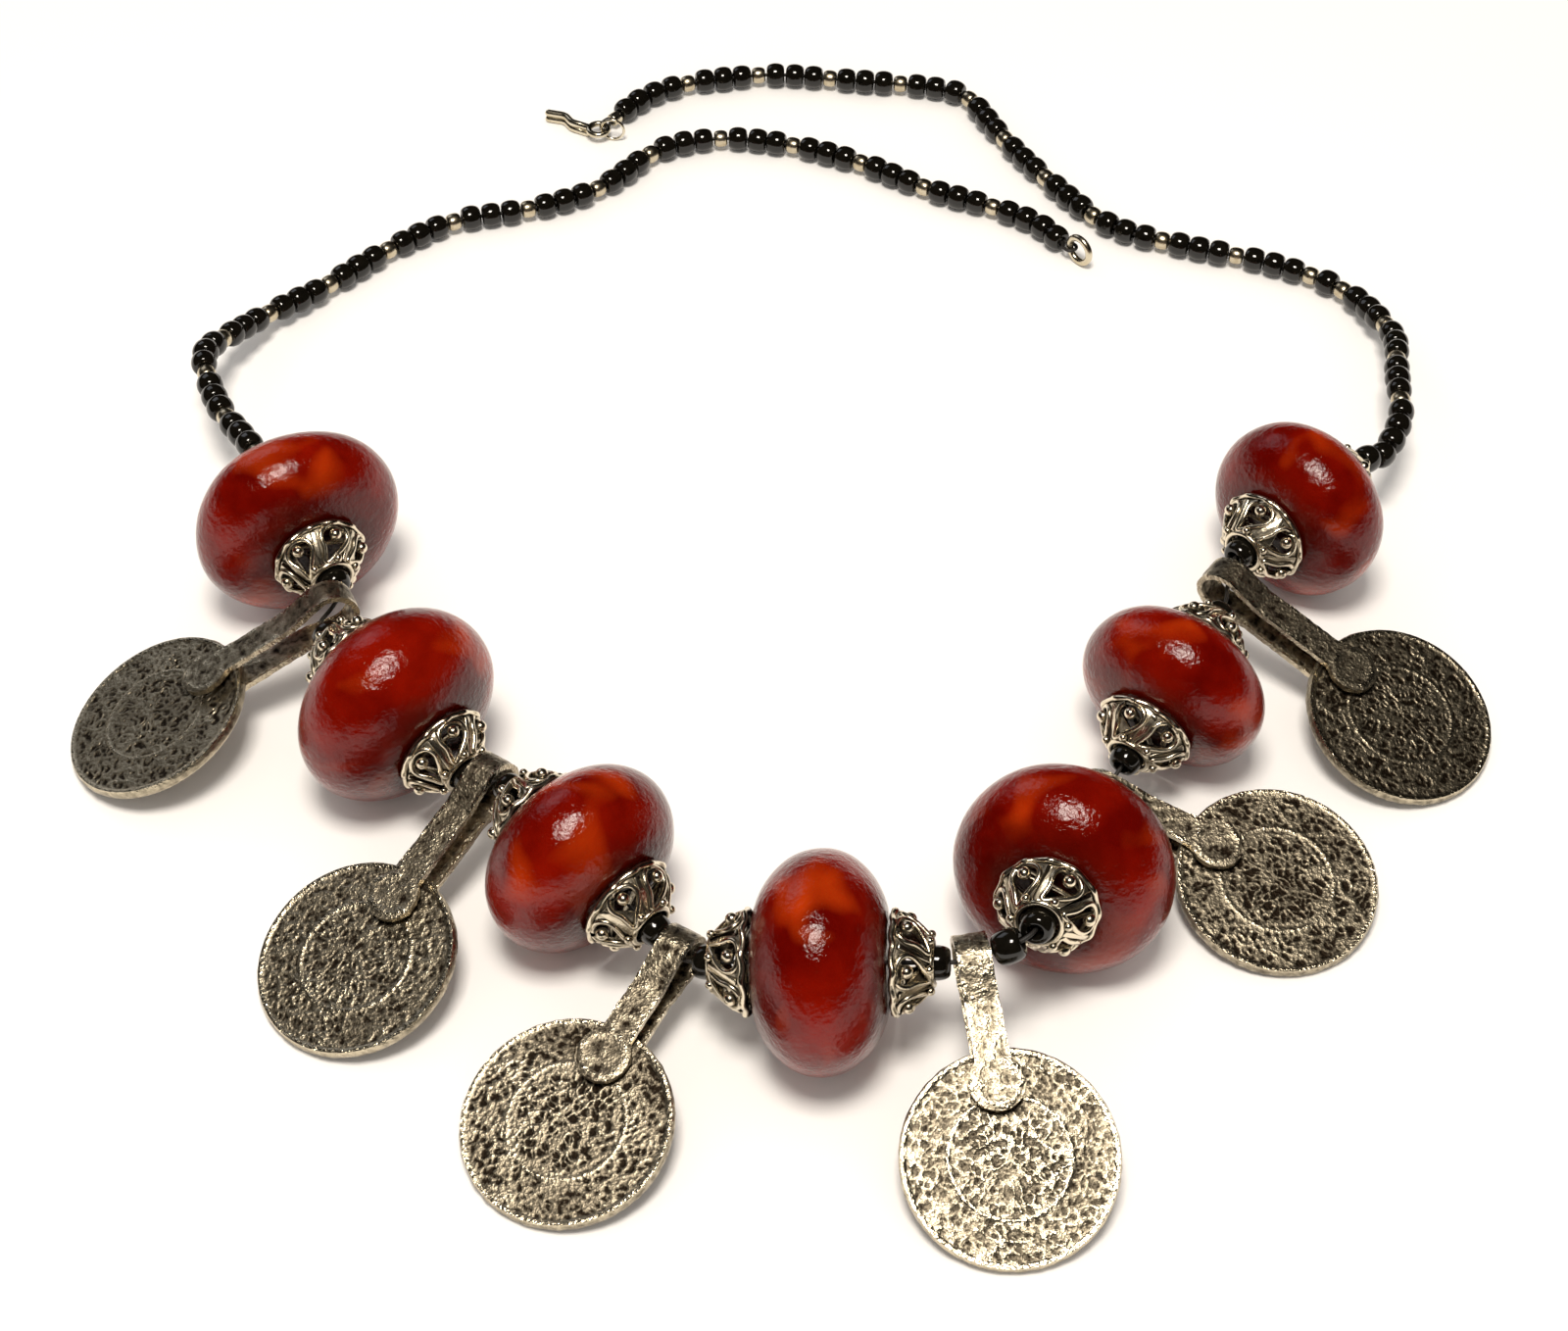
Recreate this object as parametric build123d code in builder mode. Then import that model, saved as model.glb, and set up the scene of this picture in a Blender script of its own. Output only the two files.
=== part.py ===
from build123d import *
import math
import os

# A folk necklace of seven amber beads and six coin drops, lying open on a flat surface.
# Millimetres, +Z up, the surface at Z = 0, the origin under the middle of the outline.

os.makedirs("parts", exist_ok=True)

# Amber beads, oblate and drilled
amber_diameter = 29.5
amber_thickness = 18.5
amber_bore = 2.6
amber_rim_share = 0.45
amber_end_flat = 5.0

# Bead caps, pierced cones that sit on the ends of the amber beads
cap_diameter = 13.4
cap_height = 5.6
cap_wall = 0.9
cap_band = 0.9
cap_mouth = 5.0
cap_windows = 6
cap_window_head = 2.8
cap_window_tail = 0.9
cap_window_tail_reach = 2.2
cap_window_circle = 9.8
cap_rib = 0.9
cap_rib_twist = 22
cap_ball = 1.5
cap_scallop = 1.5
cap_scallops = 12
cap_seat_clearance = 0.1

# Coins, with a raised rim, ring and star on both faces
coin_diameter = 28.0
coin_thickness = 1.3
coin_relief = 0.2
coin_rim_width = 1.1
coin_ring_diameter = 15.6
coin_line = 0.8

# Straps, folded over the thread and riveted to the coins
strap_width = 4.2
strap_root_width = 4.6
strap_tongue = 7.4
strap_metal = 0.85
strap_loop = 4.3
strap_neck = 5.5
strap_length = 20.0
strap_coin_clearance = 0.1
strap_thread_clearance = 0.18
strap_sag = 0.4

# Rivets, one through each strap and coin
rivet_inset = 4.6
rivet_shank = 2.2
rivet_head = 3.6
rivet_head_height = 0.7
rivet_groove = 0.5
rivet_clearance = 0.06

# Black glass beads beside the straps
spacer_diameter = 4.8
spacer_length = 3.8
spacer_hole = 2.1
spacer_spread = 1.8
mouth_nest = 1.6

# Black glass and round metal beads of the two strands
black_diameter = 4.3
black_length = 3.25
black_hole = 1.5
metal_diameter = 3.1
metal_length = 2.4
metal_hole = 1.3
metal_facets = 6
bead_gap = 0.17
bead_wobble = 1.8
floor_gap = 0.1

# Thread
thread_diameter = 0.6
thread_leg_gap = 0.06
corner_out = 3.2
corner_share = 0.45

# Fittings at the two free ends
fitting_gap = 0.12
ring_wire = 1.2
ring_diameter = 5.8
crimp_diameter = 2.3
crimp_length = 2.0
crimp_hole = 1.4
eye_wire = 1.1
eye_diameter = 4.5
hook_wire = 1.3
hook_overlap = 0.08
hook_length = 14.0
hook_neck = 2.4
hook_width = 7.9
hook_bend_radius = 3.8
hook_heading = 165
jump_wire = 0.5
jump_diameter = 4.6
jump_heading = -8
jump_seat_heading = -30

# The string's route, from the ring on the left strand's free end to the hook on the right one.
# The origin lies this far along X and Y in the route's own plan.
plan_x = -0.5
plan_y = 22.51
# Columns: kind, x, y, and for a strand the thread's rise above where it lies;
# for an amber bead its heading and lean in degrees and its shares of the diameter and thickness.
string_route = [
    ("strand", 48.1, 97.1, 0.0),
    ("strand", 43.0, 103.1, 0.0),
    ("strand", 35.2, 107.6, 0.0),
    ("strand", 25.7, 111.5, 0.0),
    ("strand", 14.5, 119.2, 0.0),
    ("strand", 3.2, 124.3, 0.0),
    ("strand", -10.2, 127.2, 0.0),
    ("strand", -22.3, 124.2, 0.0),
    ("strand", -32.1, 111.7, 0.0),
    ("strand", -43.8, 106.1, 0.0),
    ("strand", -57.8, 103.3, 0.0),
    ("strand", -69.3, 94.0, 0.0),
    ("strand", -78.1, 84.3, 0.2),
    ("strand", -85.8, 76.7, 1.4),
    ("strand", -90.8, 67.0, 4.8),
    ("strand", -93.6, 58.0, 9.0),
    ("strand", -88.8, 43.5, 10.1),
    ("amber", -72.2, 15.0, -61, -3, 1.05, 0.80),
    ("amber", -54.1, -21.3, -46, -9, 1.03, 0.97),
    ("amber", -27.1, -47.9, -46, -7, 0.96, 0.90),
    ("amber", 4.8, -65.5, -4, 5, 1.00, 0.95),
    ("amber", 37.1, -50.1, 71, -20, 1.01, 0.93),
    ("amber", 55.0, -16.4, 57, 11, 0.92, 0.80),
    ("amber", 77.1, 19.1, 45, -2, 0.94, 0.82),
    ("strand", 92.6, 33.2, 9.4),
    ("strand", 96.6, 41.5, 9.8),
    ("strand", 98.0, 55.4, 7.6),
    ("strand", 100.6, 67.5, 4.0),
    ("strand", 97.3, 80.2, 0.6),
    ("strand", 92.4, 86.5, 0.0),
    ("strand", 82.8, 91.8, 0.0),
    ("strand", 70.1, 95.7, 0.0),
    ("strand", 56.5, 100.7, 0.0),
    ("strand", 47.9, 112.3, 0.0),
    ("strand", 39.7, 125.7, 0.0),
    ("strand", 33.2, 140.5, 0.0),
    ("strand", 23.6, 142.9, 0.0),
    ("strand", 11.0, 144.3, 0.0),
    ("strand", -2.0, 146.4, 0.0),
    ("strand", -17.0, 143.6, 0.0),
    ("strand", -24.3, 140.3, 0.0),
    ("strand", -31.3, 132.3, 0.0),
]

# The drops, one in each gap between two amber beads.
# Columns: heading in which the strap hangs and its roll about that in degrees,
# shares of its length and width, black beads before and after it, and whether its coin has a star.
drops = [
    (-155, 7, 0.98, 1.00, 1, 1, True),
    (-126, 4, 1.02, 0.96, 1, 1, False),
    (-123, 0, 0.83, 1.00, 1, 1, True),
    (-80, 5, 0.80, 1.04, 1, 2, False),
    (-27, 10, 0.84, 0.90, 1, 1, True),
    (-35, 4, 1.07, 1.00, 1, 1, False),
]

# Black beads between one metal bead and the next, counted from each free end
left_groups = [3] + [3] * 15 + [1]
right_groups = [4] + [3] * 10 + [1] + [3] * 3 + [6]

UP = Vector(0, 0, 1)


def place(piece, name, *seats):
    """Put a copy of a piece on each seat, label them as one part and write its file."""
    with BuildPart(*seats) as placed:
        add(piece)
    placed.part.label = name
    export_step(placed.part, f"parts/{name}.step")


def direction(heading, lean=0.0):
    """Unit vector at a heading in plan and a lean above the horizontal, in degrees."""
    across, rise = math.radians(heading), math.radians(lean)
    flat = math.cos(rise)
    return Vector(math.cos(across) * flat, math.sin(across) * flat, math.sin(rise))


class AmberPlace:
    """Centre, axis and size of one amber bead that rests on its rim."""

    def __init__(self, row):
        _, x, y, heading, lean, wide, thick = row
        self.diameter = amber_diameter * wide
        self.thickness = amber_thickness * thick
        self.axis = direction(heading, lean)
        self.rim_radius = amber_rim_share * self.thickness
        rim_centre = self.diameter / 2 - self.rim_radius
        height = rim_centre * math.cos(math.radians(lean)) + self.rim_radius
        self.centre = Vector(x - plan_x, y - plan_y, height)
        self.seat = self.thickness / 2 + cap_seat_clearance
        self.mouth = self.seat + cap_height

    def at(self, along):
        return self.centre + self.axis * along


# Where the thread runs
lying_height = black_diameter / 2 + floor_gap
amber_places = [AmberPlace(row) for row in string_route if row[0] == "amber"]
first_amber = next(i for i, row in enumerate(string_route) if row[0] == "amber")


def strand_points(rows):
    return [Vector(x - plan_x, y - plan_y, lying_height + rise) for _, x, y, rise in rows]


left_points = strand_points(string_route[:first_amber])
right_points = strand_points(string_route[first_amber + len(amber_places) :])

# The thread goes round the ring's wire in a level loop and round the hook's eye in an upright one
thread_radius = thread_diameter / 2
leg_offset = thread_radius + thread_leg_gap / 2
eye_height = 1.5 * hook_wire - hook_overlap
left_end, right_end = left_points[0], right_points[-1] + UP * (eye_height - lying_height)
left_outward = (left_points[0] - left_points[1]).normalized()
right_outward = (right_points[-1] - right_points[-2]).normalized()


def wire_reach(wire):
    """How far past the last bead's face the centre of the wire in the thread's loop lies."""
    return 2 * (thread_radius + fitting_gap) + thread_radius + wire / 2


def end_loop(end, outward, side, wire, grip):
    """Points of the thread's loop round a wire, from inside the last bead and back through it."""
    half = wire / 2 + fitting_gap + thread_radius
    near, far = fitting_gap + thread_radius, wire_reach(wire) + half
    points = [(-0.9 * grip, -leg_offset), (near, -leg_offset), (2 * near, -half), (far, -half)]
    points += [(far, half), (2 * near, half), (near, leg_offset), (-1.1 * grip, leg_offset)]
    return [end + outward * along + side * across for along, across in points]


left_loop = end_loop(left_end, left_outward, UP.cross(left_outward), ring_wire, black_length)
right_loop = end_loop(right_end, right_outward, UP, eye_wire, crimp_length)

route = left_loop + left_points[1:]
for before, after in zip([None] + amber_places, amber_places):
    arriving = after.at(-after.mouth - corner_out)
    if before:
        leaving = before.at(before.mouth + corner_out)
        route.append((leaving + arriving) / 2 - UP * strap_sag)
    route += [arriving, after.at(after.mouth + corner_out)]
route += right_points[:-1] + right_loop[::-1]

runs = [(b - a).length for a, b in zip(route, route[1:])]
turns = [(b - a).get_angle(c - b) for a, b, c in zip(route, route[1:], route[2:])]
tangents = [corner_share * min(pair) for pair in zip(runs, runs[1:])]
radii = [t / math.tan(math.radians(turn) / 2) for t, turn in zip(tangents, turns)]
print("thread radii", [round(r, 1) for r in radii])

with BuildLine() as thread_path:
    FilletPolyline(*route, radius=radii)
path = thread_path.wires()[0]


def along_thread(point):
    """Length along the thread to the point of it nearest a given one."""
    return path.param_at_point(path.closest_points(point)[0]) * path.length


def on_thread(along):
    """Plane across the thread at a length along it."""
    where = path.position_at(along, position_mode=PositionMode.LENGTH)
    return Plane(where, z_dir=path.tangent_at(along, position_mode=PositionMode.LENGTH))


with BuildPart() as thread:
    with BuildSketch(Plane(route[0], z_dir=route[1] - route[0])):
        Circle(thread_radius)
    sweep(path=path)
section = math.pi * thread_radius**2
print("thread volume over section x length", thread.part.volume / (section * path.length))
place(thread.part, "thread", Plane.XY)


# Amber beads, about the origin with their holes along Z
def amber_bead(diameter, thickness, rim_radius):
    half = thickness / 2
    rim_centre = diameter / 2 - rim_radius
    across = rim_centre - amber_end_flat
    shoulder = (across**2 + half**2 - rim_radius**2) / (2 * (half - rim_radius))
    join = Vector(rim_centre, 0) + Vector(across, shoulder - half).normalized() * rim_radius
    with BuildPart() as bead:
        with BuildSketch(Plane.XZ):
            with BuildLine():
                end = Line((amber_bore / 2, half), (amber_end_flat, half))
                side = TangentArc(end @ 1, join, tangent=end % 1)
                TangentArc(join, (diameter / 2, 0), tangent=side % 1)
                mirror(about=Plane.XZ)
                Line((amber_bore / 2, half), (amber_bore / 2, -half))
            make_face()
        revolve(axis=Axis.Z)
    return bead.part


for number, amber in enumerate(amber_places, 1):
    bead = amber_bead(amber.diameter, amber.thickness, amber.rim_radius)
    place(bead, f"amber_bead_{number}", Plane(amber.centre, z_dir=amber.axis))

# Bead cap, its base on Z = 0 and its mouth up
cap_radius = cap_diameter / 2
mouth_radius = cap_mouth / 2
slope_top = mouth_radius + cap_wall


def cap_level(radius):
    """Height of the cap's outer face at a radius."""
    return cap_band + (cap_radius - radius) * (cap_height - cap_band) / (cap_radius - slope_top)


with BuildSketch() as cap_window:
    Circle(cap_window_head / 2)
    with Locations((cap_window_tail / 2, -cap_window_tail_reach)):
        Circle(cap_window_tail / 2)
    make_hull()

with BuildPart() as cap:
    with BuildSketch(Plane.XZ):
        with BuildLine():
            Polyline(
                (cap_radius - cap_wall, 0),
                (cap_radius, 0),
                (cap_radius, cap_band),
                (slope_top, cap_height),
                (mouth_radius, cap_height),
                (mouth_radius, cap_height - cap_wall),
                (cap_radius - cap_wall, cap_band / 2),
                close=True,
            )
        make_face()
    revolve(axis=Axis.Z)
    with BuildSketch():
        with PolarLocations(cap_window_circle / 2, cap_windows):
            add(cap_window.sketch)
    extrude(amount=cap_height, mode=Mode.SUBTRACT)
    for window in range(cap_windows):
        rib_angle = (window + 0.5) * 360 / cap_windows
        foot_radius = cap_radius - cap_rib / 2
        foot = direction(rib_angle) * foot_radius + UP * (cap_level(foot_radius) - cap_rib / 2)
        top = direction(rib_angle + cap_rib_twist) * slope_top + UP * (cap_height - cap_rib / 2)
        with BuildSketch(Plane(foot, z_dir=top - foot)):
            Circle(cap_rib / 2)
        extrude(amount=(top - foot).length)
        ball_radius = (cap_window_circle + cap_window_head) / 2
        with Locations(direction(window * 360 / cap_windows) * ball_radius + UP * cap_level(ball_radius)):
            Sphere(cap_ball / 2)
    with Locations((0, 0, cap_scallop / 2)):
        with PolarLocations(cap_radius - cap_scallop / 4, cap_scallops):
            Sphere(cap_scallop / 2)
    with Locations((0, 0, cap_height - cap_rib / 4)):
        Torus(mouth_radius + cap_rib / 2, cap_rib / 2)

for number, amber in enumerate(amber_places, 1):
    for end_name, sign in (("left", -1), ("right", 1)):
        seat = Plane(amber.at(sign * amber.seat), z_dir=amber.axis * sign)
        place(cap.part, f"bead_cap_{number}_{end_name}", seat)


# Glass and metal beads, about the origin with their holes along Z
def bead_end_radius(diameter, hole):
    return hole / 2 + (diameter - hole) / 6


def drilled_bead(diameter, length, hole, facets=0):
    """Bead with a round side, or one of straight facets where the bead is tiny."""
    end_radius, half = bead_end_radius(diameter, hole), length / 2
    with BuildPart() as bead:
        with BuildSketch(Plane.XZ):
            with BuildLine():
                Polyline((end_radius, -half), (hole / 2, -half), (hole / 2, half), (end_radius, half))
                side_mode = Mode.PRIVATE if facets else Mode.ADD
                side = ThreePointArc((end_radius, -half), (diameter / 2, 0), (end_radius, half), mode=side_mode)
                if facets:
                    Polyline(*[side @ (step / facets) for step in range(facets + 1)])
            make_face()
        revolve(axis=Axis.Z)
    return bead.part


black_bead = drilled_bead(black_diameter, black_length, black_hole)
metal_bead = drilled_bead(metal_diameter, metal_length, metal_hole, metal_facets)
spacer_bead = drilled_bead(spacer_diameter, spacer_length, spacer_hole)


def bead_row(kinds, start, way, gap):
    """Centres of a row of beads as lengths along the thread, spread wider where it turns."""
    lengths = {"black": black_length, "metal": metal_length}
    end_radius = bead_end_radius(black_diameter, black_hole)
    row, face = [], start
    for kind in kinds:
        ahead = gap + lengths[kind]
        turn = on_thread(face - way * ahead / 2).z_dir.get_angle(on_thread(face + way * ahead / 2).z_dir)
        spread = 2 * end_radius * math.tan(math.radians(turn / 2))
        row.append(face + way * (gap + spread + lengths[kind] / 2))
        face += way * (ahead + spread)
    return row, face


def strand(side, groups, free_end, mouth, held_seats):
    """Black and metal beads from a free end to a cap's mouth, as many as fit, evenly spaced."""
    kinds = ["black"] * groups[0]
    for group in groups[1:]:
        kinds += ["metal"] + ["black"] * group
    start, stop = along_thread(free_end), along_thread(mouth)
    way = math.copysign(1, stop - start)
    stop += way * mouth_nest
    while (stop - bead_row(kinds, start, way, bead_gap)[1]) * way < 0:
        kinds.pop()
    slack = (stop - bead_row(kinds, start, way, bead_gap)[1]) * way
    row = bead_row(kinds, start, way, bead_gap + slack / len(kinds))[0]
    print(side, "strand:", kinds.count("black"), "black,", kinds.count("metal"), "metal, slack", slack)
    seats = {"black": held_seats, "metal": []}
    for count, (kind, along) in enumerate(zip(kinds, row)):
        tilt, sway = bead_wobble * math.sin(2.4 * count), bead_wobble * math.cos(3.7 * count)
        seats[kind].append(on_thread(along).rotated((tilt, sway, 0)))
    place(black_bead, f"black_beads_{side}", *seats["black"])
    place(metal_bead, f"metal_beads_{side}", *seats["metal"])


held_bead = Plane(left_end - left_outward * black_length / 2, z_dir=left_outward)
first_mouth = amber_places[0].at(-amber_places[0].mouth)
last_mouth = amber_places[-1].at(amber_places[-1].mouth)
strand("left", left_groups, left_end - left_outward * black_length, first_mouth, [held_bead])
strand("right", right_groups, right_end - right_outward * crimp_length, last_mouth, [])

# Drops: strap, rivet and coin about the strap's loop, hanging along +X with the coin's face up
strap_inner = strap_loop / 2
strap_outer = strap_inner + strap_metal
leg_inner = coin_thickness / 2 + coin_relief + strap_coin_clearance
leg_outer = leg_inner + strap_metal
coin_offset = coin_diameter / 2 - rivet_inset


def strap_side(loop_radius, leg_height, tip):
    """Side view of all that lies within a loop's radius and the height of straight legs to a tip."""
    with BuildSketch() as view:
        Circle(loop_radius)
        with Locations((strap_neck, 0)):
            Rectangle(strap_metal, 2 * leg_height)
        make_hull()
        with Locations(((strap_neck + tip) / 2, 0)):
            Rectangle(tip - strap_neck + strap_metal, 2 * leg_height)
    return view.sketch


def strap(length, width):
    tip = length + strap_tongue / 2
    with BuildPart() as folded:
        with BuildSketch():
            with BuildLine():
                Polyline(
                    (-strap_outer, -width / 2),
                    (length, -strap_root_width / 2),
                    (length, strap_root_width / 2),
                    (-strap_outer, width / 2),
                    close=True,
                )
            make_face()
            with Locations((length, 0)):
                Circle(strap_tongue / 2)
        extrude(amount=strap_outer, both=True)
        with BuildSketch(Plane.XZ):
            add(strap_side(strap_outer, leg_outer, tip))
        extrude(amount=strap_tongue, both=True, mode=Mode.INTERSECT)
        with BuildSketch(Plane.XZ):
            add(strap_side(strap_inner, leg_inner, tip))
        extrude(amount=strap_tongue, both=True, mode=Mode.SUBTRACT)
        with Locations((length, 0)):
            Hole(rivet_shank / 2 + rivet_clearance)
    return folded.part


def coin(starred):
    with BuildPart() as disc:
        with BuildSketch():
            Circle(coin_diameter / 2)
        extrude(amount=coin_thickness / 2, both=True)
        with BuildSketch():
            Circle(coin_diameter / 2)
            Circle(coin_diameter / 2 - coin_rim_width, mode=Mode.SUBTRACT)
            Circle((coin_ring_diameter + coin_line) / 2)
            Circle((coin_ring_diameter - coin_line) / 2, mode=Mode.SUBTRACT)
            if starred:
                for turn in (0, 180):
                    with BuildSketch(mode=Mode.PRIVATE) as triangle:
                        RegularPolygon((coin_diameter - coin_rim_width) / 2, 3, rotation=turn)
                        offset(amount=-coin_line, mode=Mode.SUBTRACT)
                    add(triangle.sketch)
        extrude(amount=coin_thickness / 2 + coin_relief, both=True)
        with Locations((-coin_offset, 0)):
            Hole(rivet_shank / 2 + rivet_clearance)
    return disc.part


with BuildPart() as rivet:
    Cylinder(rivet_shank / 2, 2 * leg_outer + rivet_head_height)
    for side in (-1, 1):
        head_middle = side * (leg_outer + rivet_clearance + rivet_head_height / 2)
        with Locations((0, 0, head_middle)):
            Cylinder(rivet_head / 2, rivet_head_height)
        with Locations((0, 0, head_middle + side * rivet_head_height / 2)):
            Torus(rivet_head / 4, rivet_groove / 2, mode=Mode.SUBTRACT)


def drop_pitch(loop_height, roll, reach):
    """How steeply a drop slopes from its loop to where its coin's edge rests on the surface."""
    edge, half = coin_diameter / 2, coin_thickness / 2 + coin_relief
    low, high = 0.0, math.pi / 2
    for _ in range(40):
        pitch = (low + high) / 2
        level = math.cos(pitch) * math.cos(roll)
        depth = reach * math.sin(pitch) + edge * math.sqrt(1 - level**2) + half * level
        low, high = (pitch, high) if depth < loop_height else (low, pitch)
    return math.degrees(pitch)


def loop_drop(along, across, width):
    """How far the loop's centre lies below the thread so that all its width clears the thread."""
    free = strap_inner - thread_radius - strap_thread_clearance
    middle, clear = on_thread(along), []
    slant = width / 2 / middle.z_dir.dot(across)
    for share in (-1, -0.5, 0, 0.5, 1):
        offset = on_thread(along + share * slant).origin - middle.origin
        offset -= across * offset.dot(across)
        clear.append(math.sqrt(free**2 - offset.X**2 - offset.Y**2) - offset.Z)
    return min(clear)


def spacer_row(face, way, count):
    """Seats of the black beads between a cap's mouth and a strap, and where the strap's room begins."""
    pitch = spacer_length + spacer_spread
    seats = [on_thread(face + way * (spacer_length / 2 + bead * pitch)) for bead in range(count)]
    return seats, face + way * (count * pitch - spacer_spread + bead_gap)


spacer_seats = []
for number, drop in enumerate(drops, 1):
    heading, roll, length_share, width_share, beads_before, beads_after, starred = drop
    before, after = amber_places[number - 1], amber_places[number]
    first_row, start = spacer_row(along_thread(before.at(before.mouth)) - mouth_nest, 1, beads_before)
    last_row, stop = spacer_row(along_thread(after.at(-after.mouth)) + mouth_nest, -1, beads_after)
    spacer_seats += first_row + last_row
    length, width = strap_length * length_share, strap_width * width_share
    middle, across = (start + stop) / 2, direction(heading + 90, roll)
    loop_centre = on_thread(middle).origin - UP * loop_drop(middle, across, width)
    pitch = drop_pitch(loop_centre.Z, math.radians(roll), length + coin_offset)
    print("drop", number, "room", round(stop - start, 2), "pitch", round(pitch, 1))
    out = direction(heading, -pitch)
    face = out.cross(across)
    place(strap(length, width), f"strap_{number}", Plane(loop_centre, x_dir=out, z_dir=face))
    rivet_seat = Plane(loop_centre + out * length, x_dir=out, z_dir=face)
    place(rivet.part, f"rivet_{number}", rivet_seat)
    coin_seat = Plane(rivet_seat.origin + out * coin_offset, x_dir=out, z_dir=face)
    place(coin(starred), f"coin_{number}", coin_seat)
place(spacer_bead, "spacer_beads", *spacer_seats)

# Ring at the left end, upright in line with the strand
ring_radius = (ring_diameter - ring_wire) / 2
ring_offset = math.sqrt(ring_radius**2 - (ring_diameter / 2 - lying_height) ** 2)
ring_centre = left_end + left_outward * (wire_reach(ring_wire) + ring_offset)
ring_centre.Z = ring_diameter / 2
with BuildPart() as end_ring:
    Torus(ring_radius, ring_wire / 2)
place(end_ring.part, "end_ring", Plane(ring_centre, z_dir=UP.cross(left_outward)))

# Crimp on the thread's two legs beside the hook
with BuildPart() as crimp:
    Cylinder(crimp_diameter / 2, crimp_length)
    fillet(crimp.edges(), crimp_diameter / 8)
    Hole(crimp_hole / 2)
place(crimp.part, "crimp", Plane(right_end - right_outward * crimp_length / 2, z_dir=right_outward))

# Hook of doubled wire, its upper wire ending in the eye; X runs from the eye to the bend
eye_radius = (eye_diameter - eye_wire) / 2
eye_centre = right_end + right_outward * (wire_reach(eye_wire) + eye_radius)
hook_far_side = hook_width - hook_neck - hook_wire
hook_route = [
    (eye_radius, 0),
    (hook_length * 0.38, -hook_neck / 3),
    (hook_length / 2, -hook_neck),
    (hook_length, -hook_neck),
    (hook_length, hook_far_side),
    (eye_radius / 2, hook_far_side + hook_wire / 4),
]
with BuildPart() as hook:
    for level in (hook_wire / 2 - eye_height, 0):
        with BuildLine(Plane.XY.offset(level)) as hook_line:
            FilletPolyline(*hook_route, radius=[hook_wire * 1.6] * 2 + [hook_bend_radius] * 2)
        with BuildSketch(Plane(hook_line.line @ 0, z_dir=hook_line.line % 0)):
            Circle(hook_wire / 2)
        sweep(path=hook_line.line)
        with Locations(hook_line.line @ 1):
            Sphere(hook_wire / 2)
    Torus(eye_radius, eye_wire / 2)
hook_seat = Plane(eye_centre, x_dir=direction(hook_heading), z_dir=UP)
place(hook.part, "hook", hook_seat)

# Thin ring that stands upright through the hook's eye
jump_radius = (jump_diameter - jump_wire) / 2
jump_height = jump_diameter / 2 + floor_gap / 2
inside_eye = eye_radius - (eye_wire + jump_wire) / 2 - fitting_gap
jump_offset = math.sqrt(jump_radius**2 - (jump_height - eye_height) ** 2)
jump_centre = eye_centre + direction(jump_seat_heading) * inside_eye + direction(jump_heading) * jump_offset
jump_centre.Z = jump_height
with BuildPart() as jump_ring:
    Torus(jump_radius, jump_wire / 2)
place(jump_ring.part, "jump_ring", Plane(jump_centre, z_dir=direction(jump_heading + 90)))
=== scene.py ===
# %% [markdown]
# # A folk necklace of amber, cast silver and old coins
# Seven fat amber beads, each with a pierced silver cap at both ends, carry six coins between them on
# folded straps, and two strands of black glass beads run back to a hook and a ring. The solids and
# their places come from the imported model. This lesson gives each of them its detail and its finish.

import math
import random

import bmesh
import bpy
import numpy as np
from mathutils import Matrix, Vector, noise


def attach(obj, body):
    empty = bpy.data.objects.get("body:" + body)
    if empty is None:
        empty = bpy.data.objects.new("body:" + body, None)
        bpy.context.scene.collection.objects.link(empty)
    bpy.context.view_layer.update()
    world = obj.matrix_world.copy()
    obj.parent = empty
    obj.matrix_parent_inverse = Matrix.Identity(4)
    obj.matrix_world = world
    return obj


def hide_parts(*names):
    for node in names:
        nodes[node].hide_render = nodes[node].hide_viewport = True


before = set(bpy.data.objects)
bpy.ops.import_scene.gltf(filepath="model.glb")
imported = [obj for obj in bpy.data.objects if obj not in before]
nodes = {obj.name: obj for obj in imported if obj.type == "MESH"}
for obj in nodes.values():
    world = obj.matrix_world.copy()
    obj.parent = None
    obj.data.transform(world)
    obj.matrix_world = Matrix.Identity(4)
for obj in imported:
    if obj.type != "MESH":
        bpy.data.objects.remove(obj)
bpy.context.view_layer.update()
MM = 0.001

# %% [markdown]
# ## The camera
# The necklace was photographed from about 40 cm away, looking down at 47 degrees. The camera is
# placed by its position and the point it looks at, because those two points are easy to reason
# about, and the lens length then sets how much of the table it takes in.

# %% Camera
camera_place = Vector((0.5, -299.3, 301.2)) * MM
camera_target = Vector((0.5, -22.5, 0.0)) * MM
lens_mm, sensor_mm = 63, 36
camera = bpy.data.objects.new("camera", bpy.data.cameras.new("camera"))
bpy.context.collection.objects.link(camera)
camera.data.lens = lens_mm
camera.data.sensor_width = sensor_mm
camera.data.clip_start = 10 * MM


def aimed(place):
    """The matrix that puts a camera or lamp at a place and turns it to the middle of the view."""
    return Matrix.Translation(place) @ (camera_target - place).to_track_quat("-Z", "Y").to_matrix().to_4x4()


camera.matrix_world = aimed(camera_place)
bpy.context.scene.camera = camera
sight = camera_target - camera_place
print("camera looks down", round(math.degrees(math.asin(-sight.z / sight.length)), 1), "degrees")

# %% [markdown]
# ## Helpers for finishes
# A finish is a small tree of shader nodes. These helpers keep each tree short to read: one adds a
# node with its values and links, one mixes two colours, and one turns a height into a bump.


# %% Colours, nodes and bumps
def linear(hex_colour):
    """The linear colour that Blender's sockets take, from an sRGB hex value."""
    parts = [int(hex_colour[i : i + 2], 16) / 255 for i in (0, 2, 4)]
    return [*(c / 12.92 if c <= 0.04045 else ((c + 0.055) / 1.055) ** 2.4 for c in parts), 1.0]


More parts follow.
